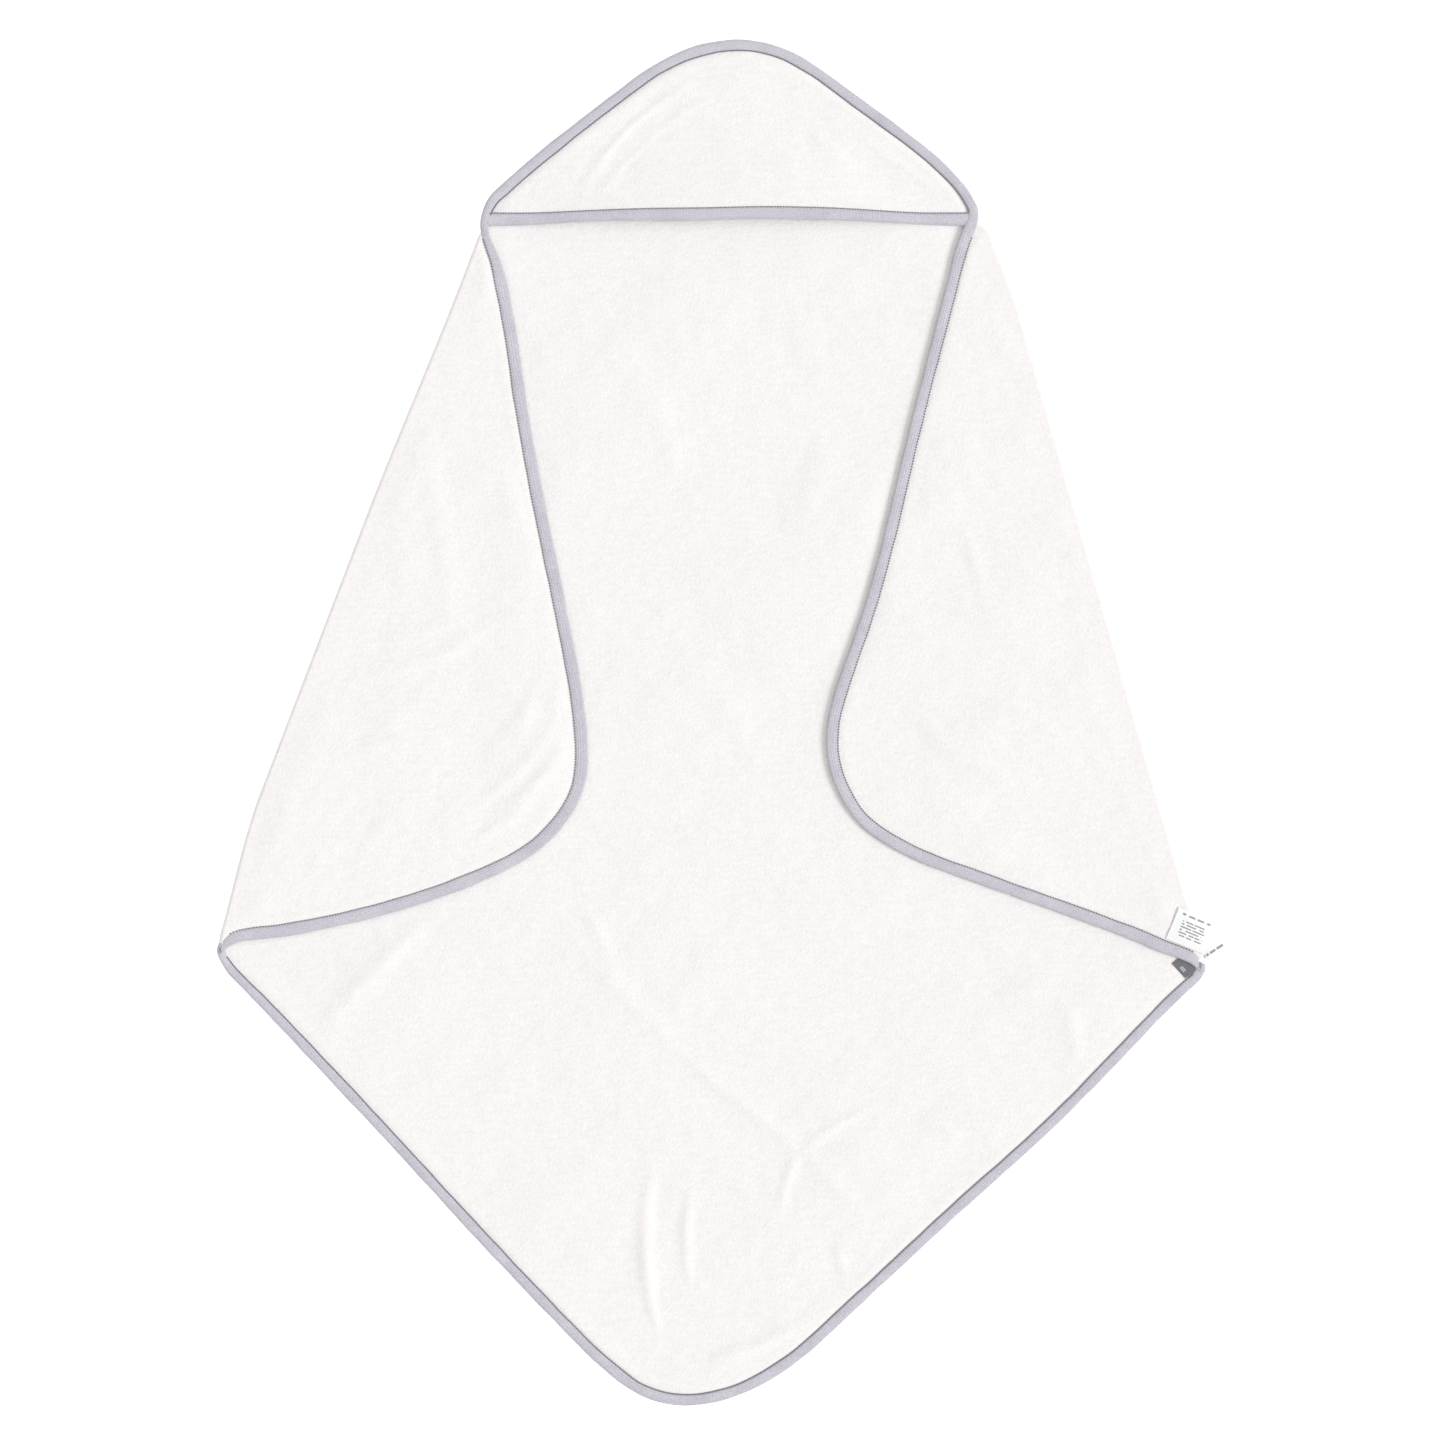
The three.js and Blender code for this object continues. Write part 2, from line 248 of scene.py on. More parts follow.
def fold(points):
    """Folds both sides of the flat towel over its front. Points are rows of x, y, z."""
    folded = np.array(points, float)
    for side in SIDES:
        t, u = side.place(folded[:, :2])
        beyond_top = FOLD_FADE * smoothstep(side.top + 3, side.top + 14, t)
        turn = np.clip((u - beyond_top + BEND_HALF) / (2 * BEND_HALF), 0, 1) * math.pi
        bent = u - beyond_top > -BEND_HALF
        height = folded[:, 2] - TERRY_MID
        reach = BEND_RADIUS - height
        past = np.maximum(u - beyond_top - BEND_HALF, 0)
        new_u = np.where(bent, beyond_top - BEND_HALF + reach * np.sin(turn) - past, u)
        new_z = np.where(bent, TERRY_MID + BEND_RADIUS - reach * np.cos(turn), folded[:, 2])
        new_u = new_u - side.pull(t, new_u)
        folded[:, :2] = side.point(t, new_u)
        folded[:, 2] = new_z
    return folded


# ---- The edge of the towel, once round: as it lies folded, and where it is when laid flat ----
def plan(points):
    return np.array(points, float) + SHIFT


def folded_edge():
    points = np.concatenate([
        HOOD_EDGE, [LEFT_SHOULDER], LEFT_FLAP_EDGE, [LEFT_CORNER], LOWER_EDGE, [RIGHT_CORNER],
        RIGHT_FLAP_EDGE, [RIGHT_SHOULDER]])
    curve = smooth_curve(plan(points), closed=True)
    count = 2 * int(round(lengths_along(curve)[-1] / STITCH_PITCH))  # even, for the stitches
    return resample(curve, count)[:-1]


EDGE = folded_edge()
STATIONS = len(EDGE)


def station(mark):
    """The number of the edge's station nearest to a marked place of the plan."""
    return int(np.argmin(np.linalg.norm(EDGE - plan(mark), axis=1)))


APEX_AT, LEFT_SHOULDER_AT, LEFT_CORNER_AT, BOTTOM_AT, RIGHT_CORNER_AT, RIGHT_SHOULDER_AT = (
    station(mark) for mark in (
        (14.4, 499), LEFT_SHOULDER, LEFT_CORNER, (-28, -499.4), RIGHT_CORNER, RIGHT_SHOULDER))


def stretch(start, end):
    """Station numbers from start to end, going round the loop."""
    return np.arange(start, end + 1 + (STATIONS if end < start else 0)) % STATIONS


# Stretches that run on past a shoulder or corner, to be sure to reach beyond the fold.
CROSSING = 14
LEFT_FLAP_STATIONS = stretch(LEFT_SHOULDER_AT - CROSSING, LEFT_CORNER_AT + CROSSING)
RIGHT_FLAP_STATIONS = stretch(RIGHT_CORNER_AT - CROSSING, RIGHT_SHOULDER_AT + CROSSING)
LOWER_LEFT_STATIONS = stretch(LEFT_CORNER_AT - CROSSING, BOTTOM_AT)
LOWER_RIGHT_STATIONS = stretch(BOTTOM_AT, RIGHT_CORNER_AT + CROSSING)[::-1]
HOOD_LEFT_STATIONS = stretch(APEX_AT, LEFT_SHOULDER_AT + CROSSING)[::-1]
HOOD_RIGHT_STATIONS = stretch(RIGHT_SHOULDER_AT - CROSSING, APEX_AT)


def flat_edge():
    """The same stations with both corners opened, evened out where the edge crosses a fold."""
    flat = RIGHT.straighten(LEFT.straighten(EDGE))
    for side, start, end in (
            (LEFT, LEFT_SHOULDER_AT, LEFT_CORNER_AT), (RIGHT, RIGHT_CORNER_AT, RIGHT_SHOULDER_AT)):
        part = stretch(start, end)
        flat[part] = side.unfold(EDGE[part])
    even = flat.copy()
    reach = 7  # stations
    for offset in range(1, reach + 1):
        even += np.roll(flat, offset, axis=0) + np.roll(flat, -offset, axis=0)
    return even / (2 * reach + 1)


PERIMETER = flat_edge()


# ---- Relief: undulations, folds and creases left in the cloth ----
def loft_share(x, y):
    """0 along the hood's sewn edges, 1 in the middle of its free edge."""
    left, right, apex = (np.array(p) + SHIFT for p in (LOFT_LEFT, LOFT_RIGHT, LOFT_APEX))
    up = (y - left[1]) / (apex[1] - left[1])
    low = left[0] + up * (apex[0] - left[0])
    high = right[0] + up * (apex[0] - right[0])
    span = right[0] - left[0]
    share = 4 * np.maximum((x - low) / span, 0) * np.maximum((high - x) / span, 0)
    return smoothstep(0, 1, share)


def waves(x, y, seed, wavelengths, heights):
    """A sum of sine waves in fixed random directions, for cloth that isn't quite flat."""
    random = np.random.default_rng(SEED + seed)
    total = np.zeros_like(x)
    for wavelength, height in zip(wavelengths, heights):
        for _ in range(4):
            angle = random.uniform(0, 2 * math.pi)
            phase = random.uniform(0, 2 * math.pi)
            total += height / 2 * np.sin(
                2 * math.pi * (x * math.cos(angle) + y * math.sin(angle)) / wavelength + phase)
    return total


def crease(x, y, points, height, width):
    """A long soft ridge along a curve, fading at both ends."""
    curve = resample(smooth_curve(points, per_span=8), 18)
    best = np.full(x.shape, 1e9)
    along = np.zeros(x.shape)
    span = len(curve) - 1
    for i in range(span):
        a, b = curve[i], curve[i + 1]
        d = b - a
        share = np.clip(((x - a[0]) * d[0] + (y - a[1]) * d[1]) / (d @ d), 0, 1)
        dx, dy = x - a[0] - share * d[0], y - a[1] - share * d[1]
        distance = np.hypot(dx, dy)
        closer = distance < best
        best = np.where(closer, distance, best)
        along = np.where(closer, (i + share) / span, along)
    ends = np.sin(math.pi * np.clip(along, 0, 1)) ** 0.7
    return height * np.exp(-(best / width) ** 2) * ends


# Curve, height and width of each crease, in millimetres. The two factors scale all of them.
CREASE_RISE = 1.2
CREASE_WIDTH = 0.62
BODY_CREASES = [
    ([(-294, -227), (-246, -175), (-206, -138)], 0.9, 9),
    ([(-250, -146), (-244, -175)], 0.6, 6),
    ([(-242, -186), (-191, -194), (-132, -194)], 0.5, 8),
    ([(-132, -116), (-87, -182), (-21, -249), (60, -315)], 0.8, 12),
    ([(-102, -131), (-87, -160), (-71, -190)], 0.9, 7),
    ([(60, -315), (23, -286), (-14, -256)], 0.7, 6),
    ([(60, -315), (93, -293), (119, -282)], 0.8, 6),
    ([(60, -315), (104, -319), (145, -326)], 0.7, 7),
    ([(60, -315), (49, -341), (45, -363)], 0.7, 6),
    ([(60, -315), (90, -345), (112, -367)], 0.7, 7),
    ([(149, -289), (178, -308)], 0.8, 6),
    ([(-49, -326), (-54, -374), (-51, -419), (-42, -463)], 1.3, 9),
    ([(-21, -337), (-24, -378), (-21, -419)], 0.8, 7),
    ([(86, -382), (96, -419)], 0.8, 6),
    ([(-6, -470), (38, -456), (86, -433)], 1.1, 9),
    ([(211, -194), (241, -197)], 0.6, 7),
    ([(252, -205), (261, -230), (263, -256)], 0.8, 7),
    ([(171, -146), (215, -171), (259, -190)], 0.7, 9),
    ([(-150, 305), (-117, 323), (-87, 356)], 0.8, 8),
    ([(-87, 290), (-43, 223), (-21, 120)], 0.5, 16),
    ([(53, 312), (75, 223), (60, 120)], 0.5, 16),
    ([(-58, 61), (1, 17), (38, -57)], 0.5, 14),
]
LEFT_CREASES = [
    ([(-290, 32), (-213, 46), (-169, 72), (-132, 83)], 0.9, 7),
    ([(-112, 24), (-128, -12), (-160, -48), (-196, -66)], 0.7, 7),
    ([(-106, 2), (-118, -24), (-142, -50), (-176, -72)], 0.6, 6),
    ([(-128, 40), (-146, 4), (-176, -28)], 0.5, 6),
    ([(-250, 61), (-220, 67), (-183, 76)], 0.7, 6),
    ([(-150, -20), (-139, 8), (-121, 24)], 0.6, 6),
    ([(-128, 8), (-110, 32)], 0.7, 4),
    ([(-213, -105), (-161, -75), (-117, -27)], 0.9, 9),
    ([(-206, -42), (-189, -39)], 0.6, 5),
    ([(-220, 223), (-202, 120), (-198, 61)], 0.5, 14),
    ([(-287, -27), (-242, -16), (-198, -13)], 0.6, 10),
    ([(-324, -94), (-265, -87), (-220, -94)], 0.5, 12),
]
RIGHT_CREASES = [
    ([(245, 187), (278, 91), (304, -13)], 0.6, 12),
    ([(138, 17), (178, -27), (252, -57)], 0.7, 10),
    ([(178, 150), (197, 91)], 0.5, 8),
    ([(208, -101), (267, -116), (311, -123)], 0.6, 9),
]
HOOD_CREASES = [
    ([(-102, 393), (-65, 439), (-21, 471)], 0.9, 6),
    ([(-90, 387), (-49, 432), (-3, 464)], 0.7, 5),
    ([(-138, 389), (-126, 404)], 0.6, 4),
    ([(-14, 485), (12, 492), (40, 483)], 0.7, 5),
    ([(112, 423), (138, 409), (163, 390)], 0.9, 6),
    ([(60, 445), (97, 408)], 0.5, 9),
    ([(-80, 384), (-43, 390), (1, 387)], 0.4, 7),
]

WAVE_LENGTHS = (190, 95, 42, 17)
WAVE_HEIGHTS = (0.5, 0.32, 0.13, 0.05)


def relief(x, y, creases, seed):
    """The height of the cloth's undulations and creases at each point."""
    total = waves(x, y, seed, WAVE_LENGTHS, WAVE_HEIGHTS)
    for points, height, width in creases:
        total += crease(x, y, points, height * CREASE_RISE, width * CREASE_WIDTH)
    return total


# ---- Distances from the edge ----
def line_tree(line):
    tree = KDTree(len(line))
    for number, (x, y) in enumerate(line):
        tree.insert((x, y, 0), number)
    tree.balance()
    return tree


FLAT_EDGE_TREE = line_tree(PERIMETER)
EDGE_TREE = line_tree(EDGE)


def edge_distance(points, tree=FLAT_EDGE_TREE):
    """Each point's distance from the edge, laid flat unless another tree is given."""
    return np.array([tree.find((x, y, 0))[2] for x, y in points])


# ---- Meshes ----
def add_to_scene(name, data):
    made = bpy.data.objects.new(name, data)
    bpy.context.scene.collection.objects.link(made)
    return made


def new_object(name, vertices, faces):
    """A smoothly shaded object from points in millimetres."""
    mesh = bpy.data.meshes.new(name)
    mesh.from_pydata((np.asarray(vertices) * MM).tolist(), [], faces)
    mesh.polygons.foreach_set("use_smooth", [True] * len(faces))
    mesh.update()
    return add_to_scene(name, mesh)


def grid_faces(rows, columns, offset=0, flip=False):
    faces = []
    for i in range(rows - 1):
        for j in range(columns - 1):
            a = offset + i * columns + j
            quad = (a, a + 1, a + columns + 1, a + columns)
            faces.append(quad[::-1] if flip else quad)
    return faces


def rim(rows, columns):
    """Vertex numbers round the border of a grid."""
    return (
        list(range(columns))
        + [i * columns + columns - 1 for i in range(1, rows)]
        + [(rows - 1) * columns + j for j in range(columns - 2, -1, -1)]
        + [i * columns for i in range(rows - 2, 0, -1)]
    )


def loop_edges(loop):
    """The edges of a closed loop of vertex numbers."""
    return {tuple(sorted(pair)) for pair in zip(loop, [*loop[1:], loop[0]])}


def mark_sharp(piece, edges):
    attribute = piece.data.attributes.new("sharp_edge", "BOOLEAN", "EDGE")
    sharp = [tuple(sorted(edge.vertices)) in edges for edge in piece.data.edges]
    attribute.data.foreach_set("value", sharp)


def cloth_object(name, top, bottom, rows, columns):
    """A closed sheet from its upper and lower surfaces, with a crisp rim."""
    count = rows * columns
    faces = grid_faces(rows, columns, flip=True) + grid_faces(rows, columns, offset=count)
    border = rim(rows, columns)
    under = [number + count for number in border]
    onward = zip(border, border[1:] + border[:1], under, under[1:] + under[:1])
    faces += [(a, b, d, c) for a, b, c, d in onward]
    piece = new_object(name, np.concatenate([top, bottom]), faces)
    mark_sharp(piece, loop_edges(border) | loop_edges(under))
    return piece


def tidy_mesh(piece):
    """Joins points that fell together and turns every face outwards."""
    bm = bmesh.new()
    bm.from_mesh(piece.data)
    bmesh.ops.remove_doubles(bm, verts=bm.verts, dist=0.02 * MM)
    bmesh.ops.dissolve_degenerate(bm, edges=bm.edges, dist=0.01 * MM)
    bmesh.ops.recalc_face_normals(bm, faces=bm.faces)
    bm.to_mesh(piece.data)
    bm.free()


# ---- Terry ----
def half_thickness(distance):
    """Pinched inside the binding, swollen beside it, then even."""
    pinch = 0.5 * (1 - smoothstep(3.6, 6.2, distance))
    swell = 0.15 * np.exp(-((distance - 9) / 3) ** 2)
    return TERRY_HALF - pinch + swell


def ruled(first, second, columns, shares=None):
    """Points on straight rows from one side line to the other."""
    shares = np.linspace(0, 1, columns + 1) if shares is None else shares
    return first[:, None, :] + (second - first)[:, None, :] * (
        shares[None, :, None] if shares.ndim == 1 else shares[:, :, None])


def on_body(side, stations):
    """The part of the flat edge that lies on the body's side of a fold, from the fold on."""
    line = PERIMETER[stations]
    u = side.place(line)[1]
    inside = np.nonzero(u > -BEND_HALF)[0]
    start = inside[-1] + 1
    before, after = line[start - 1], line[start]
    share = (-BEND_HALF - u[start - 1]) / (u[start] - u[start - 1])
    return np.concatenate([[before + share * (after - before)], line[start:]])


HOOD_SEAM_Y = HOOD_LINE_Y - 3  # where the mesh of the body ends and that of the hood's back starts


def seam_point(side):
    """Where the seam between body and hood's back meets a side fold."""
    t = (HOOD_SEAM_Y - side.origin[1] + BEND_HALF * side.out[1]) / side.up[1]
    return side.on_bend(np.array([t]))


def from_seam(side, stations):
    """One side of the body or of the hood's back: from their seam along the edge, on the body's side."""
    return np.concatenate([seam_point(side), on_body(side, stations)])


def body_relief(flat):
    """How far the body is lifted off what it lies on."""
    x, y = flat[:, 0], flat[:, 1]
    calm = smoothstep(4, 24, edge_distance(flat, EDGE_TREE))
    for side in SIDES:
        calm *= smoothstep(-BEND_HALF, -BEND_HALF - 25, side.place(flat)[1])
    return np.maximum(relief(x, y, BODY_CREASES, 1), -0.25) * calm


def terry_surfaces(flat, lift, lowest):
    """Both faces of the terry, folded. No point of the flat towel goes below the lowest height."""
    half = half_thickness(edge_distance(flat))
    heights = [np.maximum(TERRY_MID + lift + sign * half, lowest) for sign in (1, -1)]
    return [fold(np.column_stack([flat, z])) for z in heights]


def build_body():
    rows, columns = 262, 190
    left = resample(from_seam(LEFT, LOWER_LEFT_STATIONS), rows)
    right = resample(from_seam(RIGHT, LOWER_RIGHT_STATIONS), rows)
    flat = ruled(left, right, columns).reshape(-1, 2)
    top, bottom = terry_surfaces(flat, body_relief(flat), ON_FLOOR)
    return cloth_object("towel_terry", top, bottom, rows + 1, columns + 1)


def build_hood_back():
    """The towel's corner under the hood. Past the seam it calms down and leaves the hood more room."""
    rows, columns = 52, 110
    left = resample(from_seam(LEFT, HOOD_LEFT_STATIONS), rows)
    right = resample(from_seam(RIGHT, HOOD_RIGHT_STATIONS), rows)
    flat = ruled(left, right, columns).reshape(-1, 2)
    waved = body_relief(flat)
    calm = waved * (1 - smoothstep(HOOD_SEAM_Y + 5, HOOD_SEAM_Y + 20, flat[:, 1])) - 0.15
    share = smoothstep(HOOD_SEAM_Y, HOOD_SEAM_Y + 8, flat[:, 1])
    top, bottom = terry_surfaces(flat, calm * share + waved * (1 - share), ON_FLOOR)
    return cloth_object("hood_back_terry", top, bottom, rows + 1, columns + 1)


def past_fold(side, stations):
    """The part of the flat edge that lies on the folded corner's side of a fold."""
    edge = PERIMETER[stations]
    inside = np.nonzero(side.place(edge)[1] > -BEND_HALF)[0]
    return edge[inside[0]:inside[-1] + 1]


BEND_SPREAD = 1.15  # the mesh's fine columns cover this much of the bend's length


def build_flap(name, side, creases, stations, seed):
    """A folded corner: out from the body, round the bend and back over the front."""
    rows, columns, bend_columns = 165, 78, 9
    edge = resample(past_fold(side, stations), rows)
    t, u = side.place(edge)
    spine = side.on_bend(np.linspace(t[0], t[-1], rows + 1))
    reach = np.maximum(u + BEND_HALF, 0.01)
    bend_share = np.minimum(2 * BEND_HALF * BEND_SPREAD / reach, 0.75)  # of each row
    in_bend = np.linspace(0, 1, bend_columns + 1)[None, :] * bend_share[:, None]
    past_bend = bend_share[:, None] + (1 - bend_share[:, None]) * np.linspace(
        0, 1, columns - bend_columns + 1)[None, 1:]
    shares = np.concatenate([in_bend, past_bend], axis=1)
    flat = ruled(spine, edge, columns, shares).reshape(-1, 2)
    t_all, u_all = side.place(flat)
    mirrored = side.point(t_all, -u_all)
    lift = np.clip(relief(mirrored[:, 0], mirrored[:, 1], creases, seed) + 0.2, 0, FLAP_RISE)
    lift = lift + np.maximum(body_relief(mirrored), 0)  # it follows what it lies on
    lift = lift * smoothstep(BEND_HALF, BEND_HALF + 22, u_all)
    lift = lift * smoothstep(5, 16, edge_distance(flat))
    top, bottom = terry_surfaces(flat, -lift, -FLAP_RISE)
    return cloth_object(name, top, bottom, rows + 1, columns + 1)


def raise_hood(points):
    """Bows and lifts whatever belongs to the hood's second layer."""
    raised = np.array(points, float)
    share = loft_share(raised[:, 0], raised[:, 1])
    raised[:, 1] += HOOD_BOW * share
    raised[:, 2] += HOOD_LOFT * share
    return raised


def build_hood():
    rows, columns = 46, 116
    front_y = HOOD_FRONT[0][1] + SHIFT[1]
    left_edge = EDGE[stretch(APEX_AT, LEFT_SHOULDER_AT)][::-1]
    right_edge = EDGE[stretch(RIGHT_SHOULDER_AT, APEX_AT)]
    sides = []
    for line in (left_edge, right_edge):
        line = line[line[:, 1] > front_y]
        first = np.array([[line[0][0], front_y]])
        sides.append(resample(np.concatenate([first, line]), rows))
    flat = ruled(sides[0], sides[1], columns).reshape(-1, 2)
    edge = edge_distance(flat, EDGE_TREE)
    to_front = flat[:, 1] - front_y
    nearest = np.minimum(edge, to_front)
    lift = relief(flat[:, 0], flat[:, 1], HOOD_CREASES, 4)
    lift = np.maximum(lift, -0.2) * smoothstep(4, 24, nearest)
    half = half_thickness(nearest)
    mid = HOOD_PANEL_LOW + TERRY_HALF + 0.2 * (1 - smoothstep(0, 12, to_front))
    mid = mid - 0.7 * (1 - smoothstep(2, 9, edge))
    top, bottom = (raise_hood(np.column_stack([flat, mid + lift + sign * half])) for sign in (1, -1))
    return cloth_object("hood_terry", top, bottom, rows + 1, columns + 1)


# ---- Bias binding and its topstitching ----
SECTION = 20  # points round the binding
STITCH_AT = 0.84  # the topstitching's place across half the binding


def binding_section(width, thick, pucker):
    """Rows of (across, height) round the binding, one row for each station. The terry is at +1."""
    angle = np.linspace(0, 2 * math.pi, SECTION, endpoint=False)
    across = np.sign(np.cos(angle)) * np.abs(np.cos(angle)) ** 0.55
    height = np.sign(np.sin(angle)) * np.abs(np.sin(angle)) ** 0.5
    seam = np.exp(-((across - STITCH_AT) / 0.13) ** 2)
    dip = 1 - (0.05 + 0.1 * pucker[:, None]) * seam[None, :]
    thinner = 1 - 0.1 * smoothstep(0.2, 1, across)
    return width[:, None] / 2 * across[None, :], thick[:, None] / 2 * height * thinner * dip


def swept(line, normal, width, thick, mid, side):
    """The binding's surface. side is 1, or -1 where the cloth lies folded over, face down."""
    pucker = (np.arange(len(line)) % 2).astype(float)
    across, up = binding_section(width, thick, pucker)
    flat = line[:, None, :] + side * normal[:, None, :] * across[:, :, None]
    z = mid[:, None] + side * up
    return np.concatenate([flat, z[:, :, None]], axis=2)


def turned_over(points, line, normal, width):
    """Adds two rings at each end, the last one on the cloth below, to bridge the fold once opened.

    They stand across the fold, with their terry side towards the middle of the fold line.
    """
    thick = np.array([BINDING_THICK - 0.4])
    rings = []
    for k, turn in ((0, 1), (-1, -1)):
        to_terry = turn * np.column_stack([normal[[k], 1], -normal[[k], 0]])
        upper = swept(line[[k]], -to_terry, width[[k]], thick, UPPER_LOW + thick / 2, -1)
        lower = swept(line[[k]], to_terry, width[[k]], thick, thick / 2 + 0.2, 1)
        rings.append((lower, upper))
    (first, second), (last, last_but_one) = rings
    points = np.concatenate([second, points, last_but_one])
    points[:, :, 2] = np.maximum(points[:, :, 2], UPPER_LOW)
    return np.concatenate([first, points, last])


def tube_object(name, points):
    stations = len(points)
    faces = []
    for i in range(stations - 1):
        for j in range(SECTION):
            a, b = i * SECTION + j, i * SECTION + (j + 1) % SECTION
            faces.append((a, b, b + SECTION, a + SECTION))
    faces.append(tuple(range(SECTION)))
    last = (stations - 1) * SECTION
    faces.append(tuple(range(last + SECTION - 1, last - 1, -1)))
    piece = new_object(name, points.reshape(-1, 3), faces)
    mark_sharp(piece, {edge for cap in faces[-2:] for edge in loop_edges(cap)})
    return piece


def strip_uv(piece, stations, width):
    """UVs in millimetres: u along the strip, v across it."""
    layer = piece.data.uv_layers.new(name="strip")
    along = np.arange(stations) * STATION
    numbers = np.zeros(len(piece.data.loops), int)
    piece.data.loops.foreach_get("vertex_index", numbers)
    v = (numbers % SECTION) / SECTION
    uv = np.column_stack([along[numbers // SECTION], v * 2 * width])
    layer.data.foreach_set("uv", uv.ravel())


def edge_profile():
    """Width, thickness and middle height of the edge's binding at every station."""
    low, upper, hood = BINDING_THICK / 2, (UPPER_LOW + UPPER_TOP) / 2, HOOD_EDGE_THICK / 2
    between = (low + upper) / 2
    wide, thin, thick = BINDING_WIDTH, BINDING_THICK, HOOD_EDGE_THICK
    keys = [  # station, width, thickness, middle height
        (APEX_AT, wide * 0.92, thick, hood),
        (LEFT_SHOULDER_AT - 40, wide * 0.92, thick, hood),
        (LEFT_SHOULDER_AT - 14, wide * 0.88, thick + 0.4, hood + 0.8),
        (LEFT_SHOULDER_AT + 2, wide * 0.5, thick + 0.4, hood + 1.1),
        (LEFT_SHOULDER_AT + 16, wide * 0.68, thin * 1.1, upper),
        (LEFT_SHOULDER_AT + 40, wide * 0.95, thin, upper),
        (LEFT_CORNER_AT - 30, wide, thin, upper),
        (LEFT_CORNER_AT - 10, wide * 0.9, thin, upper - 0.2),
        (LEFT_CORNER_AT, wide * 0.55, thin * 1.3, between),
        (LEFT_CORNER_AT + 10, wide * 0.68, thin, low),
        (LEFT_CORNER_AT + 40, wide * 0.85, thin, low),
        (BOTTOM_AT, wide * 0.92, thin, low),
        (RIGHT_CORNER_AT - 30, wide * 0.85, thin, low),
        (RIGHT_CORNER_AT - 7, wide * 0.8, thin, low),
        (RIGHT_CORNER_AT + 1, wide * 0.8, thin * 1.3, between),
        (RIGHT_CORNER_AT + 9, wide * 0.95, thin, upper - 0.2),
        (RIGHT_CORNER_AT + 30, wide, thin, upper),
        (RIGHT_SHOULDER_AT - 30, wide * 0.9, thin, upper),
        (RIGHT_SHOULDER_AT - 12, wide * 0.95, thin * 1.2, upper),
        (RIGHT_SHOULDER_AT, wide * 0.95, thick + 0.4, hood + 1.1),
        (RIGHT_SHOULDER_AT + 12, wide * 0.82, thick + 0.4, hood + 0.8),
        (RIGHT_SHOULDER_AT + 40, wide * 0.85, thick, hood),
    ]
    keys = np.array(sorted((key[0] % STATIONS, *key[1:]) for key in keys))
    every = np.arange(STATIONS)
    profile = [np.interp(every, keys[:, 0], keys[:, k], period=STATIONS) for k in (1, 2, 3)]
    reach = 5  # stations, to smooth it
    profile = [
        sum(np.roll(values, offset) for offset in range(-reach, reach + 1)) / (2 * reach + 1)
        for values in profile]
    random = np.random.default_rng(SEED + 30)
    for turns in (19, 43, 71, 113):
        phase = random.uniform(0, 2 * math.pi)
        profile[0] += 0.16 * np.sin(every * 2 * math.pi * turns / STATIONS + phase)
    return profile


EDGE_WIDTH, EDGE_THICK, EDGE_MID = edge_profile()


def stitch_spots(line, normal, width, thick, mid, side, clear):
    """Where stitches sit: on both faces, near the binding's terry side, at every other station."""
    faces = ((1, 0.9), (-1, 0.84))  # which face, and how far out in half the thickness
    spots = []
    for k in range(clear + 1, len(line) - clear - 1, 2):
        centre = line[k] + side * normal[k] * width[k] / 2 * STITCH_AT
        tangent = np.array([normal[k][1], -normal[k][0]])
        for face, out in faces:
            spots.append((centre, tangent, normal[k], mid[k] + face * out * thick[k] / 2))
    return spots


def stitch_mesh(spots, length):
    """A hump of thread at each spot."""
    rings = [(-0.5, 0.25), (-0.36, 0.85), (0, 1.0), (0.36, 0.85), (0.5, 0.25)]  # place along it, size
    sides = 6
    vertices, faces = [], []
    for centre, tangent, normal, height in spots:
        base = len(vertices)
        for along, size in rings:
            for k in range(sides):
                angle = 2 * math.pi * k / sides
                spot = (centre + tangent * along * length
                        + normal * math.cos(angle) * size * STITCH_RADIUS)
                rise = height + math.sin(angle) * size * STITCH_RADIUS * 0.6
                vertices.append((spot[0], spot[1], rise))
        for r in range(len(rings) - 1):
            for k in range(sides):
                a, b = base + r * sides + k, base + r * sides + (k + 1) % sides
                faces.append((a, b, b + sides, a + sides))
        faces.append(tuple(base + k for k in range(sides - 1, -1, -1)))
        end = base + (len(rings) - 1) * sides
        faces.append(tuple(end + k for k in range(sides)))
    return np.array(vertices), faces


def binding_piece(name, surface, thread):
    strip = tube_object(f"{name}_bias", surface)
    strip_uv(strip, len(surface), BINDING_WIDTH)
    return strip, new_object(f"{name}_stitches", *thread)


STITCH_CLEAR = 10  # stations without stitches before a fold
OVERLAP = 3  # stations that a lower binding runs on under a folded one


def build_edge(name, start, end, side, stitch):
    """The binding along one stretch of the towel's edge. side is -1 on a folded corner."""
    more = 0 if side < 0 else OVERLAP
    stations = stretch((start - more) % STATIONS, (end + more) % STATIONS)
    widened = np.concatenate([stations[:2] - 2, stations, stations[-2:] + 2]) % STATIONS
    normal = inward(EDGE[widened])[2:-2]
    sweep = (EDGE[stations], normal, EDGE_WIDTH[stations], EDGE_THICK[stations], EDGE_MID[stations])
    surface = swept(*sweep, side)
    thread, faces = stitch_mesh(stitch_spots(*sweep, side, STITCH_CLEAR), stitch)
    if side < 0:
        surface = turned_over(surface, *sweep[:3])
        thread[:, 2] = np.maximum(thread[:, 2], UPPER_LOW)
    return binding_piece(name, surface, (thread, faces))


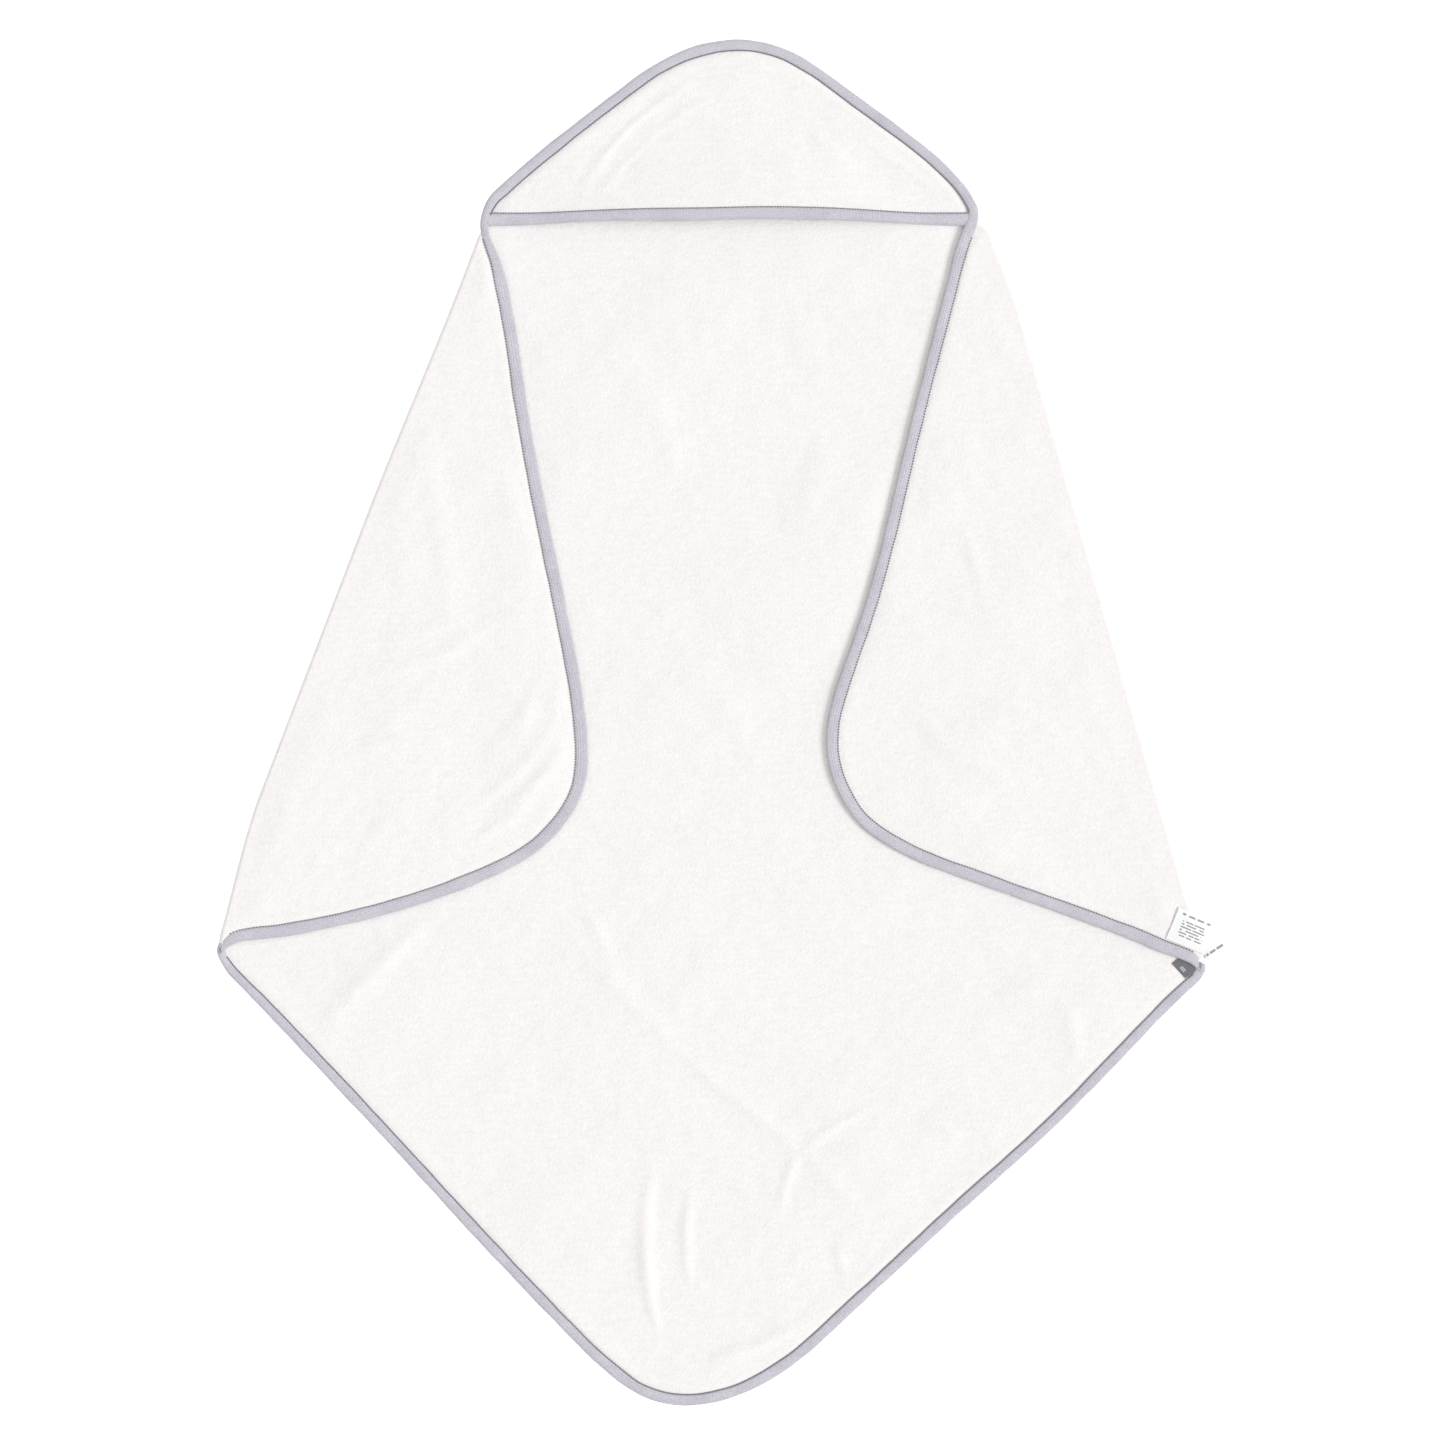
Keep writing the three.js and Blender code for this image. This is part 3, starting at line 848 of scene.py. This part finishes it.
def build_hood_front():
    curve = smooth_curve(plan(HOOD_FRONT))
    count = 2 * int(lengths_along(curve)[-1] / STITCH_PITCH)
    line = resample(curve, count)
    even = np.ones(count + 1)
    width = BINDING_WIDTH + 0.25 * np.sin(np.arange(count + 1) * 0.06)
    sweep = (
        line, inward(line), width, even * BINDING_THICK, even * (HOOD_PANEL_LOW + BINDING_THICK / 2), 1)
    surface = swept(*sweep)
    thread, faces = stitch_mesh(stitch_spots(*sweep, 0), STITCH_LENGTH)
    raised = raise_hood(surface.reshape(-1, 3)).reshape(surface.shape)
    return binding_piece("hood_front", raised, (raise_hood(thread), faces))


# ---- Labels ----
LEAF_THICK = 0.3


def leaf(name, corner, along, out, width, length, height):
    """A thin woven leaf. Its base line goes from corner along, and from there it reaches out.

    height(s, t) is the height of its middle at shares s along the base line and t out from it.
    """
    rows, columns = 24, 28
    s, t = np.meshgrid(np.linspace(0, 1, columns + 1), np.linspace(0, 1, rows + 1))
    s, t = s.ravel(), t.ravel()
    flat = plan(corner) + s[:, None] * width * np.array(along) + t[:, None] * length * np.array(out)
    z = height(s, t)
    layers = [np.column_stack([flat, z + sign * LEAF_THICK / 2]) for sign in (1, -1)]
    piece = cloth_object(name, layers[0], layers[1], rows + 1, columns + 1)
    layer = piece.data.uv_layers.new(name="leaf")
    numbers = np.zeros(len(piece.data.loops), int)
    piece.data.loops.foreach_get("vertex_index", numbers)
    numbers %= len(s)
    layer.data.foreach_set("uv", np.column_stack([s[numbers], t[numbers]]).ravel())
    return piece


def upper_height(s, t):
    rise = smoothstep(0, 0.2, t)
    arch = 0.7 * np.sin(math.pi * t) * (0.3 + 0.7 * np.sin(math.pi * s))
    return LEAF_TOP - 1 + rise * (0.4 + 0.5 * smoothstep(0, 0.4, s)) + arch - 0.8 * s * t


def lower_height(s, t):
    return LEAF_TOP - 2.9 + 1.4 * smoothstep(0, 0.5, s) - 1.2 * s * s + 0.15 * np.sin(math.pi * t)


def tab_height(s, t):
    return TAB_TOP + 0.1 + 0.2 * np.sin(math.pi * s) * np.sin(math.pi * t)


def build_labels():
    return (
        leaf("care_label_upper", (326.6, -159), (0.923, -0.384), (0.384, 0.923), 31, 25, upper_height),
        leaf("care_label_lower", (352.5, -178.5), (0.84, 0.543), (-0.543, 0.84), 25, 13, lower_height),
        leaf("woven_loop_tab", (331, -177.6), (0.677, -0.736), (0.79, 0.61), 15.1, 12, tab_height),
    )


# ---- Materials ----
def material(name, colour, roughness, sheen=0.0, sheen_roughness=0.5, specular=0.5):
    made = bpy.data.materials.new(name)
    made.use_nodes = True
    shader = made.node_tree.nodes["Principled BSDF"]
    shader.inputs["Base Color"].default_value = (*colour, 1)
    shader.inputs["Roughness"].default_value = roughness
    shader.inputs["Sheen Weight"].default_value = sheen
    shader.inputs["Sheen Roughness"].default_value = sheen_roughness
    shader.inputs["Specular IOR Level"].default_value = specular
    return made, made.node_tree, shader


def node(tree, kind, **values):
    """A new node. Each value is an input's constant or, where no input has the name, a setting."""
    made = tree.nodes.new(kind)
    for key, value in values.items():
        if key in made.inputs:
            made.inputs[key].default_value = value
        else:
            setattr(made, key, value)
    return made


def coordinates(tree, scale=(1, 1, 1), source="Object", turn=0.0):
    where = node(tree, "ShaderNodeTexCoord")
    mapping = node(tree, "ShaderNodeMapping")
    mapping.inputs["Scale"].default_value = scale
    mapping.inputs["Rotation"].default_value = (0, 0, turn)
    tree.links.new(where.outputs[source], mapping.inputs["Vector"])
    return mapping.outputs["Vector"]


def noise(tree, vector, scale, detail=3.0, roughness=0.55):
    made = node(tree, "ShaderNodeTexNoise", Scale=scale, Detail=detail, Roughness=roughness)
    tree.links.new(vector, made.inputs["Vector"])
    return made.outputs["Fac"]


def wave(tree, vector, direction, scale, distortion=0.0, detail=2.0):
    made = node(tree, "ShaderNodeTexWave", Scale=scale, Distortion=distortion, Detail=detail)
    made.bands_direction = direction
    tree.links.new(vector, made.inputs["Vector"])
    return made.outputs["Fac"]


def maths(tree, operation, a, b=None, clamp=False):
    """A maths node's output. a and b are numbers or sockets."""
    made = node(tree, "ShaderNodeMath", operation=operation, use_clamp=clamp)
    for socket, value in zip(made.inputs, (a, b)):
        if value is None:
            continue
        if isinstance(value, (int, float)):
            socket.default_value = value
        else:
            tree.links.new(value, socket)
    return made.outputs[0]


def mottle(tree, first, share, second, low, gain):
    """A share of first and the rest of second, spread out from low to cover 0 to 1."""
    parts = maths(tree, "MULTIPLY", first, share), maths(tree, "MULTIPLY", second, 1 - share)
    above = maths(tree, "SUBTRACT", maths(tree, "ADD", *parts), low)
    return maths(tree, "MULTIPLY", above, gain, clamp=True)


def bump(tree, height, distance, strength, before=None):
    made = node(tree, "ShaderNodeBump", Strength=strength, Distance=distance)
    tree.links.new(height, made.inputs["Height"])
    if before is not None:
        tree.links.new(before, made.inputs["Normal"])
    return made.outputs["Normal"]


def tint(tree, shader, factor, dark, light):
    """Colours the shader between dark and light."""
    ramp = node(tree, "ShaderNodeMix", data_type="RGBA")
    ramp.inputs["A"].default_value = (*dark, 1)
    ramp.inputs["B"].default_value = (*light, 1)
    tree.links.new(factor, ramp.inputs["Factor"])
    tree.links.new(ramp.outputs["Result"], shader.inputs["Base Color"])
    return ramp.outputs["Result"]


def terry_material():
    made, tree, shader = material("terry_cloth", (0.86, 0.83, 0.82), 0.95, 0.12, 0.6, 0.15)
    loops = noise(tree, coordinates(tree, (0.7, 1, 1)), 620, 2.0)
    streaks = noise(tree, coordinates(tree, (0.35, 1, 1), turn=0.12), 330, 2.0)
    ribs = noise(tree, coordinates(tree, (0.3, 1, 1), turn=-0.3), 230, 2.0)
    lumps = noise(tree, coordinates(tree), 42, 3.0)
    fine = bump(tree, loops, 0.0009, 0.45)
    middle = bump(tree, streaks, 0.0009, 0.22, fine)
    coarse = bump(tree, ribs, 0.0009, 0.18, middle)
    whole = bump(tree, lumps, 0.0022, 0.3, coarse)
    tree.links.new(whole, shader.inputs["Normal"])
    grain = mottle(tree, streaks, 0.6, loops, 0.38, 4.0)
    tint(tree, shader, grain, (0.858, 0.828, 0.82), (0.9, 0.871, 0.863))
    return made


def bias_material():
    made, tree, shader = material("bias_jersey", (0.55, 0.53, 0.6), 0.85, 0.25, 0.5, 0.2)
    knit = wave(tree, coordinates(tree, source="UV"), "Y", 0.42, 2.2, 1.0)
    fibres = noise(tree, coordinates(tree), 900, 2.0)
    patches = noise(tree, coordinates(tree), 55, 2.0)
    fine = bump(tree, knit, 0.0003, 0.5)
    whole = bump(tree, fibres, 0.0004, 0.5, fine)
    tree.links.new(whole, shader.inputs["Normal"])
    speckle = mottle(tree, patches, 0.3, fibres, 0.3, 2.6)
    tint(tree, shader, speckle, (0.47, 0.45, 0.515), (0.655, 0.635, 0.69))
    return made


# Topstitching thread. Its dark tone is partly the thread's colour and partly painted shade, standing in
# for the shade of the needle holes along the stitch line.
def thread_and_hole_shade_material():
    made, tree, shader = material("topstitch_thread", (0.3, 0.285, 0.34), 0.6, sheen=0.2)
    twist = wave(tree, coordinates(tree), "DIAGONAL", 700.0, 0.5)
    tree.links.new(bump(tree, twist, 0.0002, 0.5), shader.inputs["Normal"])
    # Painted shade: both thread tones are darkened to stand in for the shade of the needle holes.
    tint(tree, shader, twist, (0.13, 0.122, 0.155), (0.25, 0.24, 0.28))
    return made


def bars(tree, uv, first, last, count, left, right, words):
    """Bars that stand for printed lines, broken up by noise: count of them, from v first to v last."""
    split = node(tree, "ShaderNodeSeparateXYZ")
    tree.links.new(uv, split.inputs[0])
    u, v = split.outputs["X"], split.outputs["Y"]
    line = maths(tree, "MULTIPLY", maths(tree, "SUBTRACT", v, first), count / (last - first))
    part = maths(tree, "FRACT", line)
    ink = maths(tree, "LESS_THAN", maths(tree, "ABSOLUTE", maths(tree, "SUBTRACT", part, 0.5)), 0.24)
    row = maths(tree, "FLOOR", line)
    spot = node(tree, "ShaderNodeCombineXYZ")
    tree.links.new(maths(tree, "MULTIPLY", u, words), spot.inputs["X"])
    tree.links.new(maths(tree, "MULTIPLY", row, 7.3), spot.inputs["Y"])
    gaps = noise(tree, spot.outputs[0], 1.0, 0.0)
    ink = maths(tree, "MULTIPLY", ink, maths(tree, "GREATER_THAN", gaps, 0.42))
    for low, high, axis in ((first, last, v), (left, right, u)):
        ink = maths(tree, "MULTIPLY", ink, maths(tree, "GREATER_THAN", axis, low))
        ink = maths(tree, "MULTIPLY", ink, maths(tree, "LESS_THAN", axis, high))
    return ink


def label_material(name, blocks):
    """Satin with blocks of bars, each as first, last, count, left, right and words for bars()."""
    made, tree, shader = material(name, (0.9, 0.9, 0.9), 0.45, sheen=0.1)
    uv = coordinates(tree, source="UV")
    weave = wave(tree, uv, "X", 22.0)
    tree.links.new(bump(tree, weave, 0.0001, 0.4), shader.inputs["Normal"])
    ink = None
    for block in blocks:
        made_block = bars(tree, uv, *block)
        ink = made_block if ink is None else maths(tree, "MAXIMUM", ink, made_block)
    tint(tree, shader, ink, (0.93, 0.93, 0.935), (0.32, 0.32, 0.33))
    return made


def tab_material():
    made, tree, shader = material("woven_tab", (0.2, 0.2, 0.21), 0.75, sheen=0.15)
    uv = coordinates(tree, source="UV")
    ribs = wave(tree, uv, "Y", 9.0, 1.5)
    tree.links.new(bump(tree, ribs, 0.0003, 0.7), shader.inputs["Normal"])
    dark = tint(tree, shader, ribs, (0.09, 0.09, 0.1), (0.3, 0.3, 0.32))
    pale = bars(tree, uv, 0.16, 0.4, 2, 0.4, 0.7, 0.1)
    mark = node(tree, "ShaderNodeMix", data_type="RGBA")
    mark.inputs["B"].default_value = (0.75, 0.75, 0.76, 1)
    tree.links.new(dark, mark.inputs["A"])
    tree.links.new(pale, mark.inputs["Factor"])
    tree.links.new(mark.outputs["Result"], shader.inputs["Base Color"])
    return made


def dress(piece, finish):
    piece.data.materials.clear()
    piece.data.materials.append(finish)


# ---- The towel ----
STRIP_AND_THREAD = ("binding", "topstitch")  # how the frame names what a binding is made of
TERRY = terry_material()
BIAS = bias_material()
THREAD_AND_HOLE_SHADE = thread_and_hole_shade_material()

towel = build_body()
hood_back = build_hood_back()
hood_terry = build_hood()
left_terry = build_flap("left_flap_terry", LEFT, LEFT_CREASES, LEFT_FLAP_STATIONS, 2)
right_terry = build_flap("right_flap_terry", RIGHT, RIGHT_CREASES, RIGHT_FLAP_STATIONS, 3)
for cloth in (towel, hood_back, hood_terry, left_terry, right_terry):
    tidy_mesh(cloth)
    dress(cloth, TERRY)

edges = {
    "hood_edge": build_edge("hood_edge", RIGHT_SHOULDER_AT, LEFT_SHOULDER_AT, 1, LONG_STITCH),
    "left_flap": build_edge("left_flap", LEFT_SHOULDER_AT, LEFT_CORNER_AT, -1, STITCH_LENGTH),
    "lower_edge": build_edge("lower_edge", LEFT_CORNER_AT, RIGHT_CORNER_AT, 1, LONG_STITCH),
    "right_flap": build_edge("right_flap", RIGHT_CORNER_AT, RIGHT_SHOULDER_AT, -1, STITCH_LENGTH),
    "hood_front": build_hood_front(),
}
for strip, thread in edges.values():
    tidy_mesh(strip)
    tidy_mesh(thread)
    dress(strip, BIAS)
    dress(thread, THREAD_AND_HOLE_SHADE)

upper_leaf, lower_leaf, tab = build_labels()
dress(upper_leaf, label_material("label_satin_upper", [
    (0.80, 0.94, 1, 0.14, 0.22, 0.1), (0.80, 0.92, 1, 0.3, 0.85, 9), (0.2, 0.72, 6, 0.2, 0.8, 11)]))
dress(lower_leaf, label_material("label_satin_lower", [(0.14, 0.44, 1, 0.2, 0.86, 17)]))
dress(tab, tab_material())


def bend_sideways(piece):
    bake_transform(piece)


def bend_at_hood(piece):
    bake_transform(piece)


def bend_at_foot(piece):
    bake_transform(piece)


bend_at_foot(towel)
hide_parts("body_panel", "foot_panel")
bend_at_hood(hood_back)
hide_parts("hood_back_panel")
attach(hood_terry, "hood")
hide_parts("hood_panel")
for flap, cloth in (("left_flap", left_terry), ("right_flap", right_terry)):
    bend_sideways(cloth)
    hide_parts(f"{flap}_panel")
    for piece, part in zip(edges[flap], STRIP_AND_THREAD):
        bend_sideways(piece)
        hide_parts(f"{flap}_{part}")
for piece, part in zip(edges["lower_edge"], STRIP_AND_THREAD):
    bend_at_foot(piece)
    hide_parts(f"foot_{part}", f"left_corner_{part}", f"right_corner_{part}")
for piece, part in zip(edges["hood_edge"], STRIP_AND_THREAD):
    bend_at_hood(piece)
    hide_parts(f"hood_edge_{part}")
for piece, part in zip(edges["hood_front"], STRIP_AND_THREAD):
    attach(piece, "hood")
    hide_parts(f"hood_front_{part}")
for piece, stands_for in ((upper_leaf, "care_label_upper_leaf"), (lower_leaf, "care_label_lower_leaf")):
    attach(piece, "care_label")
    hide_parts(stands_for)
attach(tab, "towel_body")
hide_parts("woven_tab")


def flap_cut(side, stations):
    edge = past_fold(side, stations)
    t = side.place(edge)[0]
    return np.concatenate([edge, side.on_bend(np.array([t[-1], t[0]]))])


body_cut = np.concatenate([
    from_seam(LEFT, LOWER_LEFT_STATIONS), from_seam(RIGHT, LOWER_RIGHT_STATIONS)[::-1]])
hood_back_cut = np.concatenate([
    from_seam(RIGHT, HOOD_RIGHT_STATIONS), from_seam(LEFT, HOOD_LEFT_STATIONS)[::-1]])
left_cut = flap_cut(LEFT, LEFT_FLAP_STATIONS)
right_cut = flap_cut(RIGHT, RIGHT_FLAP_STATIONS)


# ---- Camera, floor and light ----
CAMERA_HEIGHT = 2.6
VIEW_WIDTH = 1.0664
SENSOR_WIDTH = 36
FLOOR_REACH = 40.0
KEY_PLACE = (2.7, -0.5, 1.8)
KEY_ANGLE = math.radians(24)  # how large the key light looks: a softbox
KEY_STRENGTH = 1.95
STUDIO_STRENGTH = 0.75
WHITE = (1, 1, 1, 1)


def set_camera():
    """Straight above the middle of the view."""
    camera = bpy.data.cameras.new("camera")
    camera.sensor_width = SENSOR_WIDTH
    camera.lens = SENSOR_WIDTH * CAMERA_HEIGHT / VIEW_WIDTH
    eye = add_to_scene("camera", camera)
    eye.location = (SHIFT[0] * MM, SHIFT[1] * MM, CAMERA_HEIGHT)
    bpy.context.scene.camera = eye


def lay_floor():
    """A white floor, lit a little from within so that only contact shadows show on it."""
    far = FLOOR_REACH
    mesh = bpy.data.meshes.new("floor")
    mesh.from_pydata([(-far, -far, 0), (far, -far, 0), (far, far, 0), (-far, far, 0)], [], [(0, 1, 2, 3)])
    floor = add_to_scene("floor", mesh)
    paint, _, shader = material("floor_paint", (0.92, 0.92, 0.92), 0.9, specular=0.1)
    shader.inputs["Emission Color"].default_value = WHITE
    shader.inputs["Emission Strength"].default_value = 0.5
    dress(floor, paint)


def set_light():
    scene = bpy.context.scene
    world = bpy.data.worlds.new("studio")
    scene.world = world
    world.use_nodes = True
    background = world.node_tree.nodes["Background"]
    background.inputs["Color"].default_value = WHITE
    background.inputs["Strength"].default_value = STUDIO_STRENGTH
    scene.view_settings.view_transform = "Standard"
    key = bpy.data.lights.new("key", "SUN")
    key.angle = KEY_ANGLE
    key.energy = KEY_STRENGTH
    lamp = add_to_scene("key", key)
    lamp.location = KEY_PLACE
    lamp.rotation_mode = "QUATERNION"
    lamp.rotation_quaternion = (-Vector(KEY_PLACE)).to_track_quat("-Z", "Y")


set_camera()
lay_floor()
set_light()
